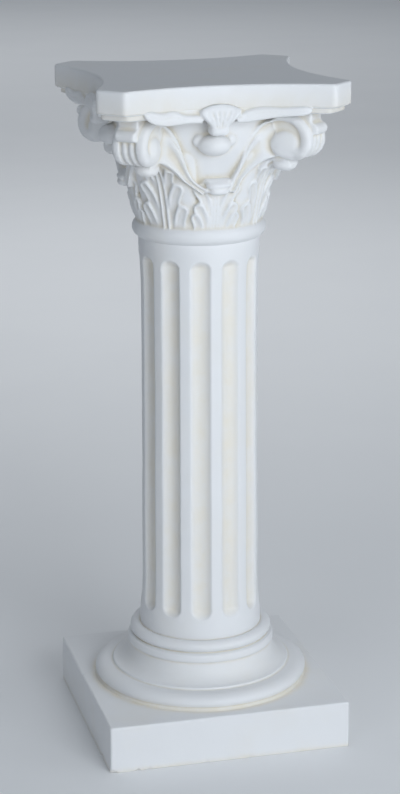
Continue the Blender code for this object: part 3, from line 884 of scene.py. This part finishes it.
sheet_u = np.linspace(0.0, SLAB_HALF, 321)
slant = sheet_u + SCROLL_HALF_WIDTH * math.sqrt(2)
sheet_w = 0.5 * (SHEET_MIDDLE + slant + np.hypot(slant - SHEET_MIDDLE, SHEET_BLEND))
sheet_s = np.concatenate([[0.0], np.cumsum(np.hypot(np.diff(sheet_u), np.diff(sheet_w)))])
sheet_slope = np.gradient(sheet_w, sheet_u)
SCROLL_S = np.interp(SCROLL_U, sheet_u, sheet_s)


def on_sheet(side, hand, s, z, front):
    """Points at length s along the sheet, at level z and a height in front of it, on the right
    half of a side (hand 1) or the left (hand -1). Near the middle they shift with the ornament."""
    u = np.interp(s, sheet_s, sheet_u)
    w = np.interp(s, sheet_s, sheet_w)
    slope = np.interp(s, sheet_s, sheet_slope)
    size = np.hypot(1.0, slope)
    near_middle = np.clip(1 - (s / SCROLL_S) ** 3, 0, 1)
    above_leaf = ease((z - BELL_FOOT - 0.3 * BELL_HEIGHT) / 0.02)
    u = hand * (u - front * slope / size) + ORNAMENT_SHIFT * near_middle * above_leaf
    return on_side(side, u, w + front / size, z)


def spiral(turn):
    """Radius of the scroll about its eye: it shrinks by the same share for each degree of turn."""
    return SCROLL_TOP * (SCROLL_FOOT / SCROLL_TOP) ** (turn / math.pi)


# %% Stalks
STALK_OUTER = ((0.092, 0.479), (0.566, 0.664), (0.316, 0.973), (0.803, 1.062))
STALK_INNER = ((0.237, 0.456), (0.408, 0.548), (0.592, 0.710), (0.908, 0.764))
STALK_BACK = -0.0085
STALK_SHARES = (0.00, 0.03, 0.10, 0.17, 0.25, 0.34, 0.43, 0.56, 0.72, 0.86, 0.95, 1.00)
STALK_HEIGHTS = (
    -0.0030, 0.0012, 0.0034, 0.0014, 0.0040, 0.0032, 0.0004, -0.0012, -0.0008, 0.0014, 0.0024, -0.0010,
)


def stalk(side, hand):
    """Face between two bends, outer and inner, with its height set by the share of the way across.
    Over its last quarter the height goes over to that of the scroll's face."""
    scale = np.array([SCROLL_U, BELL_HEIGHT])
    way = np.linspace(0, 1, 70)[:, None]
    outer = bend(*STALK_OUTER, 70) * scale
    inner = bend(*STALK_INNER, 70) * scale
    outer_s = np.interp(outer[:, 0], sheet_u, sheet_s)
    inner_s = np.interp(inner[:, 0], sheet_u, sheet_s)
    share = np.concatenate([[0.0], np.linspace(0, 1, 41), [1.0]])
    s = outer_s[:, None] + share * (inner_s - outer_s)[:, None]
    z = CAPITAL_FOOT + outer[:, 1, None] + share * (inner[:, 1] - outer[:, 1])[:, None]
    front = curve_through(share, STALK_SHARES, STALK_HEIGHTS) + 0 * s
    joined = ease((way - 0.74) / 0.18)
    front = (1 - joined) * front + joined * scroll_height(s - SCROLL_S, z - SCROLL_LEVEL)
    front[:, [0, -1]] = STALK_BACK
    return shell(on_sheet(side, hand, s, z, front))


# %% Scroll face: a band that winds inwards and swells into a round boss
STALK_END = (-0.0212, 0.0247)
STALK_SIDE = (-0.215, 0.977)
BOSS_PLACE = (-0.0050, -0.0018)
BOSS_RADIUS = 0.0158
BAND_RISE = 0.0036
EDGE_TURNS = (-180, -135, -90, -60, -35, 0, 45, 90, 135, 180)
EDGE_RADII = (0.0178, 0.0188, 0.0212, 0.0270, 0.0318, 0.0308, 0.0270, 0.0235, 0.0204, 0.0178)
CREASE_TURNS = (-180, -90, -45, 0, 30, 60, 90, 115, 140, 180)
CREASE_RADII = (0.0300, 0.0310, 0.0292, 0.0245, 0.0210, 0.0172, 0.0136, 0.0104, 0.0080, 0.0060)


def scroll_height(x, y):
    """Height of the scroll's face at x out and y up from its eye. The band is a round ridge between
    the edge and a crease that winds in towards the boss. Where the stalk comes in, the edge is the
    stalk's straight upper edge. Past the right side the crease closes and the band dies away."""
    turn = np.degrees(np.arctan2(x, y))
    edge = curve_through(turn, EDGE_TURNS, EDGE_RADII)
    bx, by = x - BOSS_PLACE[0], y - BOSS_PLACE[1]
    boss_turn = np.degrees(np.arctan2(bx, by))
    crease = curve_through(boss_turn, CREASE_TURNS, CREASE_RADII)
    from_eye, from_boss = np.hypot(x, y), np.hypot(bx, by)
    from_stalk_edge = STALK_SIDE[0] * (STALK_END[0] - x) + STALK_SIDE[1] * (STALK_END[1] - y)
    on_stalk = ease((-turn - 25) / 30) * (turn > -150)
    inside = np.clip((1 - on_stalk) * (edge - from_eye) + on_stalk * from_stalk_edge, 0, None)
    past = np.clip(from_boss - crease, 0, None)
    t = np.clip(inside / np.maximum(inside + past, 1e-6), 0, 1)
    hump = 1 - np.abs(2 * t ** 0.9 - 1) ** 2.6
    band = np.where(from_boss > crease, (BAND_RISE + 0.0006) * hump - 0.0006 - 0.0006 * t, -0.004)
    closing = ease((boss_turn - 62) / 50)
    floor = -0.0038 + 0.0034 * ease((-boss_turn - 20) / 50) * ease((from_boss - 0.016) / 0.008)
    open_below = 1 - ease((boss_turn - 112) / 55)
    floor = floor + 0.0052 * closing * open_below * (1 - ease((from_eye / edge - 0.80) / 0.15))
    band = band * open_below - 0.0040 * (1 - open_below)
    dome = np.clip(1 - (from_boss / BOSS_RADIUS) ** 2.3, 0, 1) ** 0.5
    boss = -0.0034 + 0.0084 * dome
    return melt(melt(floor, band, 0.0006 + 0.0030 * closing), boss, 0.0006 + 0.0050 * closing)


def scroll_face(side, hand):
    """Disc of points round the eye, out to the edge, then a wall down behind it."""
    turn = full_turn(180) - math.pi
    edge = curve_through(np.degrees(turn), EDGE_TURNS, EDGE_RADII)
    share = np.linspace(0.02, 1, 56)[:, None]
    x, y = share * edge * np.sin(turn), share * edge * np.cos(turn)
    front = scroll_height(x, y) - 0.0012 * ease((share - 0.94) / 0.06)
    x, y = (np.concatenate([value, value[-1:]]) for value in (x, y))
    front = np.concatenate([front, np.full((1, len(turn)), -0.0065)])
    return shell(on_sheet(side, hand, SCROLL_S + x, SCROLL_LEVEL + y, front))


# %% Drum with ridges down its rim
RIM_GROOVE = 0.0019
GROOVE_SPACING = 0.0085


def drum(corner):
    """Spiral outline carried from face to face: r = spiral - grooves, which are cosines across."""
    turn = np.radians(np.linspace(-50, 240, 90))
    across = np.linspace(-1, 1, 61)[:, None] * SCROLL_HALF_WIDTH
    on_rim = ease(turn / 0.6 + 1)
    groove = RIM_GROOVE * (0.5 + 0.5 * np.cos(2 * math.pi * across / GROOVE_SPACING)) ** 1.5
    rounding = 0.0022 * (1 - round_end((1 - np.abs(across) / SCROLL_HALF_WIDTH) / 0.10, 0))
    r = spiral(np.maximum(turn, 0)) - groove * on_rim - rounding
    w, z = SCROLL_OUT + r * np.sin(turn), SCROLL_LEVEL + r * np.cos(turn)
    return shell(on_side(corner + 0.5, across + 0 * r, w, z))


# %% The strap over a scroll's top
STRAP_HALF = 0.0125
STRAP_ROLL = 0.0062
STRAP_LEVEL = HEIGHT - 0.0516


def strap(corner):
    """A tongue of plaster: flat on top, down the front of the scroll, with a rolled end."""
    rim = SCROLL_OUT + spiral(math.pi / 2)
    roll = arc(rim, STRAP_LEVEL, STRAP_ROLL, STRAP_ROLL, 100, -60, 22)
    back = rim - 3 * STRAP_ROLL
    line = np.concatenate([
        [[back, STRAP_LEVEL], [back, STEP_UNDER + 0.001], [rim - 0.0018, STEP_UNDER + 0.001]],
        arc(rim + 0.0014, HEIGHT - 0.0425, 0.0032, 0.0030, 180, 240, 5), roll[2:],
    ])
    line = evenly(line, 0.0012)
    across = np.linspace(-1, 1, 31)
    middle = line.mean(0)
    squeeze = 1 - 0.20 * (1 - round_end((1 - np.abs(across)) / 0.20, 0))
    out = middle[0] + (line[None, :, 0] - middle[0]) * squeeze[:, None]
    level = np.where(line[None, :, 1] > STEP_UNDER - 0.002, line[None, :, 1],
                     middle[1] + (line[None, :, 1] - middle[1]) * squeeze[:, None])
    return shell(on_side(corner + 0.5, STRAP_HALF * across[:, None] + 0 * out, out, level))


for k in range(SIDES):
    parts[f"drum {k}"] = drum(k)
    parts[f"strap {k}"] = strap(k)
    for hand in (-1, 1):
        parts[f"stalk {k} {hand}"] = stalk(k, hand)
        parts[f"scroll face {k} {hand}"] = scroll_face(k, hand)
print("scrolls: eye", round(SCROLL_OUT, 4), "m out,", round(SCROLL_LEVEL, 4), "m up")

# %% [markdown]
# ### The ornament in the middle of each side
# A bud sits on the bell under a small tongue, and a ribbed fan opens above it on the slab's edge.
# Thin wavy leaves run from the fan along the slab's lower edge. The group sits a little to the
# left of the middle.

# %% The ribbed fan
FAN_FOOT = 0.7160
FAN_RISE = 0.0245
FAN_HALF = 0.0226
NECK_HALF = 0.0102


def fan(side):
    """Half circle fan: a point goes up from the neck by t, and sideways by p times a width that
    opens with t. Ribs are cosines of p, and the rim arches because the edges rise less."""
    t = np.concatenate([np.linspace(0, 1, 46), [1.0]])[:, None]
    p = np.linspace(-1, 1, 61)
    all_round = np.concatenate([p, np.linspace(0.9, -0.9, 9)])
    wide = NECK_HALF + (FAN_HALF - NECK_HALF) * ease((t - 0.05) / 0.85) ** 0.8
    u = ORNAMENT_SHIFT + wide * all_round
    z = FAN_FOOT + FAN_RISE * t * (1 - 0.26 * np.abs(all_round) ** 2.2)
    ribs = 0.0008 * np.cos(7 * math.pi * p) * (1 - ease((np.abs(p) - 0.62) / 0.15))
    ribs = ribs * (1 - ease((t - 0.55) / 0.35))
    lobe = 0.0014 * ridge(np.abs(p) - 0.84, 0.14) * ease((t - 0.2) / 0.4)
    rise = 0.0046 + 0.0022 * ease(t / 0.5) - 0.0016 * ease((t - 0.80) / 0.2) + ribs + lobe
    rise = rise - 0.0024 * ease((np.abs(p) - 0.90) / 0.10)
    w = slab_edge(0.0) + rise
    w[-1] = slab_edge(0.0) - 0.004
    w = np.concatenate([w, np.full((len(t), 9), slab_edge(0.0) - 0.016)], axis=1)
    return shell(on_side(side, u, w, z))


# %% Place fans, and tongues and buds as pads
TONGUE = (ORNAMENT_SHIFT - 0.0006, slab_edge(0.0) - 0.004, 0.7122, 0.0106, 0.0104, 0.0058, 0.55)
BUD = (ORNAMENT_SHIFT - 0.0010, SHAFT_RADIUS + 0.029, 0.6945, 0.0180, 0.0158, 0.0118, 1.0)
BUD_LEAF = (SHAFT_RADIUS + 0.0250, 0.6985, 0.0086, 0.0050, 0.0074, 1.0)
for k in range(SIDES):
    parts[f"fan {k}"] = fan(k)
    parts[f"tongue {k}"] = pad(k, *TONGUE)
    parts[f"bud {k}"] = pad(k, *BUD)
    for hand in (-1, 1):
        parts[f"bud leaf {k} {hand}"] = pad(k, ORNAMENT_SHIFT + hand * 0.0150, *BUD_LEAF)
print("with the ornaments:", len(parts), "shells")

# %% Wavy leaves along the slab's lower edge
# For each hand, the upper and the lower edge: places along the side, and drops below the slab's top
SPRAY_END = 0.012
SPRAYS = {
    -1: (
        ((0.026, 0.046, 0.057, 0.073, 0.084, 0.0915), (0.0300, 0.0292, 0.0250, 0.0258, 0.0225, 0.0205)),
        ((0.026, 0.041, 0.055, 0.068, 0.081, 0.0915), (0.0390, 0.0385, 0.0392, 0.0395, 0.0365, 0.0325)),
    ),
    1: (
        ((0.012, 0.024, 0.037, 0.062, 0.078, 0.0905), (0.0320, 0.0272, 0.0242, 0.0252, 0.0240, 0.0230)),
        ((0.012, 0.024, 0.040, 0.060, 0.078, 0.0905), (0.0400, 0.0396, 0.0376, 0.0350, 0.0340, 0.0330)),
    ),
}


def spray(side, hand):
    """Ribbon along the slab: half an ellipse across, between an upper and a lower wavy edge."""
    upper, lower = SPRAYS[hand]
    u = np.linspace(upper[0][0], upper[0][-1], 70)[:, None]
    high, low = curve_through(u, *upper), curve_through(u, *lower)
    shut = round_end((upper[0][-1] - u) / SPRAY_END, 0.01)
    a = np.radians(np.linspace(-90, 90, 25))
    middle, half = 0.5 * (low + high), 0.5 * (low - high)
    z = HEIGHT - middle + half * shut * np.sin(a)
    rise = 0.0038 * shut * np.cos(a) ** 0.55 - 0.0009 * ridge(np.sin(a) - 0.15, 0.16)
    w = slab_edge(u) + rise - 0.0004
    z = np.concatenate([z, z[:, -1:], z[:, :1]], axis=1)
    w = np.concatenate([w, w[:, -1:] - 0.011, w[:, :1] - 0.011], axis=1)
    return shell(on_side(side, hand * u + 0 * z, w, z))


# %% Plaster behind the wavy leaves
def web(side, hand):
    """Plaster that fills the corner between the slab's face and the spray: a thin upright strip."""
    upper, lower = SPRAYS[hand]
    u = np.linspace(upper[0][0], upper[0][-1] - SPRAY_END, 50)[:, None]
    low = curve_through(u, *lower) - 0.0030
    a = full_turn(24)
    drop = 0.5 * (0.0215 + low) - 0.5 * (low - 0.0215) * np.sign(np.sin(a)) * np.abs(np.sin(a)) ** 0.4
    w = slab_edge(u) - 0.0062 + 0.0060 * np.sign(np.cos(a)) * np.abs(np.cos(a)) ** 0.4
    return shell(on_side(side, hand * u + 0 * drop, w, HEIGHT - drop))


for k in range(SIDES):
    for hand in (-1, 1):
        parts[f"spray {k} {hand}"] = spray(k, hand)
        parts[f"web {k} {hand}"] = web(k, hand)
print("capital:", len(parts), "shells")

# %% [markdown]
# ### Melting the shells into one skin
# A union of solids would keep knife-sharp creases. A voxel remesh instead rebuilds the outer skin
# on a fine grid, and a few rounds of smoothing round it as a thin coat of plaster would. The
# depths of creases and hollows are measured before the skin is thinned out on its flat parts.

# %% Join, remesh and smooth
VOXEL = 0.0012
BUDGET = 190000


def evaluated(made):
    """The mesh that an object's modifiers give, as new mesh data."""
    return bpy.data.meshes.new_from_object(made.evaluated_get(bpy.context.evaluated_depsgraph_get()))


rough = mesh_object("rough capital", *gathered(list(parts.values())))
remesh = rough.modifiers.new("melt", "REMESH")
remesh.mode = "VOXEL"
remesh.voxel_size = VOXEL
remesh.use_smooth_shade = True
skin = evaluated(rough)
bpy.data.objects.remove(rough)
print("melted skin:", len(skin.vertices), "points")


# %% Smooth the skin and measure how deep each point lies
def spread_over_edges(mesh):
    """A function that moves each point's value towards the mean of its neighbours' values."""
    edges = np.empty(len(mesh.edges) * 2, np.int32)
    mesh.edges.foreach_get("vertices", edges)
    a, b = edges.reshape(-1, 2).T
    count = len(mesh.vertices)
    degree = np.bincount(a, minlength=count) + np.bincount(b, minlength=count)

    def once(values, share):
        total = np.stack([
            np.bincount(a, values[b, i], count) + np.bincount(b, values[a, i], count)
            for i in range(values.shape[1])
        ], axis=1)
        return values + share * (total / degree[:, None] - values)

    return once


once = spread_over_edges(skin)
points = rows_of(skin.vertices, "co").astype(float)
for _ in range(3):
    points = once(once(points, 0.55), -0.53)
skin.vertices.foreach_set("co", points.astype(np.float32).ravel())
skin.update()

normals = rows_of(skin.vertex_normals, "vector")
depths = {}
for rounds, name in ((10, "crease"), (90, "hollow")):
    soft = points
    for _ in range(rounds):
        soft = once(soft, 0.7)
    depths[name] = ((soft - points) * normals).sum(1)
# The depths become painted shade with some dust: cream in broad hollows, the darker dust colour in narrow
# creases.
crease_value = depths["crease"] / 0.00035 - 0.25
hollow_value = depths["hollow"] / 0.0028
values = np.clip(np.stack([crease_value, hollow_value], axis=1), 0, 1)
values = once(once(values, 0.5), 0.5)
stored(skin, "crease", 0.8 * values[:, 0])
stored(skin, "hollow", 0.9 * values[:, 1])
print("deepest crease", round(depths["crease"].max() * 1000, 2), "mm")

# %% Thin out the flat parts and finish the capital
capital = bpy.data.objects.new("capital", skin)
bpy.context.scene.collection.objects.link(capital)
full = triangles(capital)
if full > BUDGET:
    thin = capital.modifiers.new("thin out", "DECIMATE")
    thin.ratio = BUDGET / full
    capital.data = evaluated(capital)
    capital.modifiers.clear()
capital.data.polygons.foreach_set("use_smooth", np.ones(len(capital.data.polygons), bool))
print("the melted skin had", full, "triangles")
finished(capital)

# %% [markdown]
# ## The floor
# The column stands on a plain pale floor that runs far back, so that it fills the view.

# %% Floor
FLOOR_HALF = 14.0
floor_mesh = bpy.data.meshes.new("floor")
floor_corners = [(x * FLOOR_HALF, y * FLOOR_HALF, 0) for x, y in ((-1, -1), (1, -1), (1, 1), (-1, 1))]
floor_mesh.from_pydata(floor_corners, [], [(0, 1, 2, 3)])
floor = bpy.data.objects.new("floor", floor_mesh)
bpy.context.scene.collection.objects.link(floor)
floor_finish = bpy.data.materials.new("floor")
floor_finish.use_nodes = True
floor_tree = floor_finish.node_tree
floor_shader = floor_tree.nodes["Principled BSDF"]
floor_shader.inputs["Roughness"].default_value = 0.85
floor_place = node(floor_tree, "ShaderNodeTexCoord", {}).outputs["Object"]
floor_clouds = noise(floor_tree, floor_place, 3.0, 3.0, 0.5)
floor_colour = blended(floor_tree, floor_clouds, (0.82, 0.825, 0.835, 1.0), (0.86, 0.865, 0.87, 1.0))
floor_tree.links.new(floor_colour, floor_shader.inputs["Base Color"])
floor_mesh.materials.append(floor_finish)

# %% Print the imported model's box and finish
print("cad box   ", np.round(cad_box, 4).tolist())
